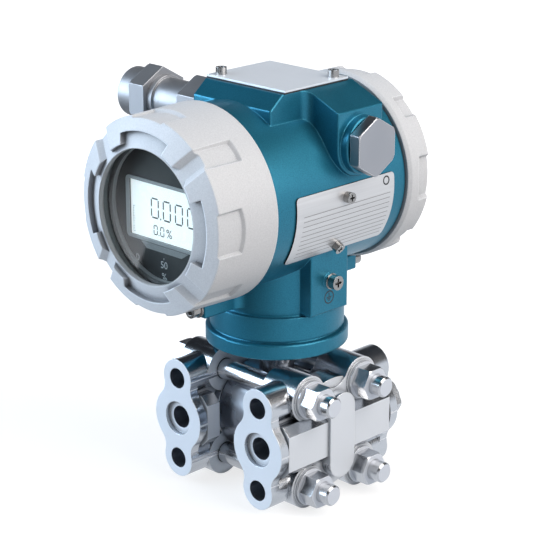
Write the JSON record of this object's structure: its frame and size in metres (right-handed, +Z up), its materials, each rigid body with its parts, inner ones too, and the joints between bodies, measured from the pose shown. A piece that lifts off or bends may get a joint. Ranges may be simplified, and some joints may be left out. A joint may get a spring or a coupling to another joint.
{
  "type": "differential pressure transmitter",
  "caption": "Differential pressure transmitter: two bolted process flanges round a pressure capsule, carrying a round housing with a window display, cable gland and plug.",
  "frame": {"origin": "centre of the four process bolt holes, on the front sealing faces of the two flanges", "axes": "+Z up along the housing neck, -Y out of the process ports and the display, +X across the ports towards the high pressure side"},
  "size_m": [0.1622, 0.1417, 0.2024],
  "materials": {
    "flange_metal": "bright satin stainless casting",
    "bolt_steel": "bright plated steel",
    "capsule_steel": "turned stainless steel",
    "fitting_steel": "satin stainless steel",
    "plate_metal": "brushed plate",
    "housing_paint": "teal blue metallic satin paint with a fine texture",
    "cover_paint": "light grey powder coat",
    "dark_metal": "black anodised ring",
    "black_rubber": "plain black rubber",
    "black_plastic": "matt black plastic",
    "grey_plastic": "matt grey print",
    "panel_glass": "pale reflective panel",
    "board_green": "circuit board",
    "clear_glass": "clear toughened glass"
  },
  "bodies": {
    "sensor": {"high_side_flange": "flange_metal", "low_side_flange": "flange_metal", "flange_bolts": "bolt_steel", "flange_nuts": "bolt_steel", "flange_washers": "bolt_steel", "sensor_capsule": "capsule_steel", "isolating_diaphragms": "capsule_steel", "capsule_gaskets": "black_rubber", "high_vent_body": "capsule_steel", "low_vent_body": "capsule_steel"},
    "housing": {"housing": "housing_paint", "chamber_wall": "housing_paint", "lock_screws": "bolt_steel", "lock_washers": "bolt_steel", "set_screw": "bolt_steel", "earth_washer": "bolt_steel", "earth_screw": "bolt_steel", "top_underlay": "black_rubber", "top_plate": "plate_metal", "top_plate_screws": "bolt_steel", "side_plate": "plate_metal", "side_plate_screws": "bolt_steel", "conduit_plug_seal": "black_rubber", "conduit_plug": "fitting_steel", "gland_washer": "black_rubber", "gland_body": "fitting_steel", "gland_nut": "fitting_steel", "gland_sleeve": "black_rubber", "cover_seals": "black_rubber", "electronics_module": "black_plastic", "terminal_block": "black_plastic", "terminal_clamps": "bolt_steel", "terminal_screws": "bolt_steel", "inner_earth_screw": "bolt_steel"},
    "front_cover": {"front_cover": "cover_paint", "window_glass": "clear_glass", "window_gaskets": "black_rubber", "glass_clamp_ring": "dark_metal"},
    "rear_cover": {"rear_cover": "cover_paint"},
    "display": {"display_case": "black_plastic", "dial_plate": "black_plastic", "lcd_panel": "panel_glass", "lcd_frame": "grey_plastic", "display_board": "board_green"},
    "high_vent_stem": {"high_vent_stem": "bolt_steel"},
    "low_vent_stem": {"low_vent_stem": "bolt_steel"}
  },
  "joints": [
    {"name": "housing_swivel", "type": "hinge", "parent": "sensor", "child": "housing", "pos_m": [0, 0.0406, 0.05], "axis": [0, 0, 1], "range_deg": [-180, 180]},
    {"name": "front_cover_thread", "type": "hinge", "parent": "housing", "child": "front_cover", "pos_m": [0, -0.02, 0.1158], "axis": [0, -1, 0], "range_deg": [0, 1440]},
    {"name": "rear_cover_thread", "type": "hinge", "parent": "housing", "child": "rear_cover", "pos_m": [0, 0.09, 0.1158], "axis": [0, 1, 0], "range_deg": [0, 1080]},
    {"name": "display_turn", "type": "hinge", "parent": "housing", "child": "display", "pos_m": [0, -0.02, 0.1158], "axis": [0, -1, 0], "range_deg": [-180, 180]},
    {"name": "high_vent_turn", "type": "hinge", "parent": "sensor", "child": "high_vent_stem", "pos_m": [0.027, 0.09, 0], "axis": [0, 1, 0], "range_deg": [0, 360]},
    {"name": "low_vent_turn", "type": "hinge", "parent": "sensor", "child": "low_vent_stem", "pos_m": [-0.027, 0.09, 0], "axis": [0, 1, 0], "range_deg": [0, 360]}
  ]
}
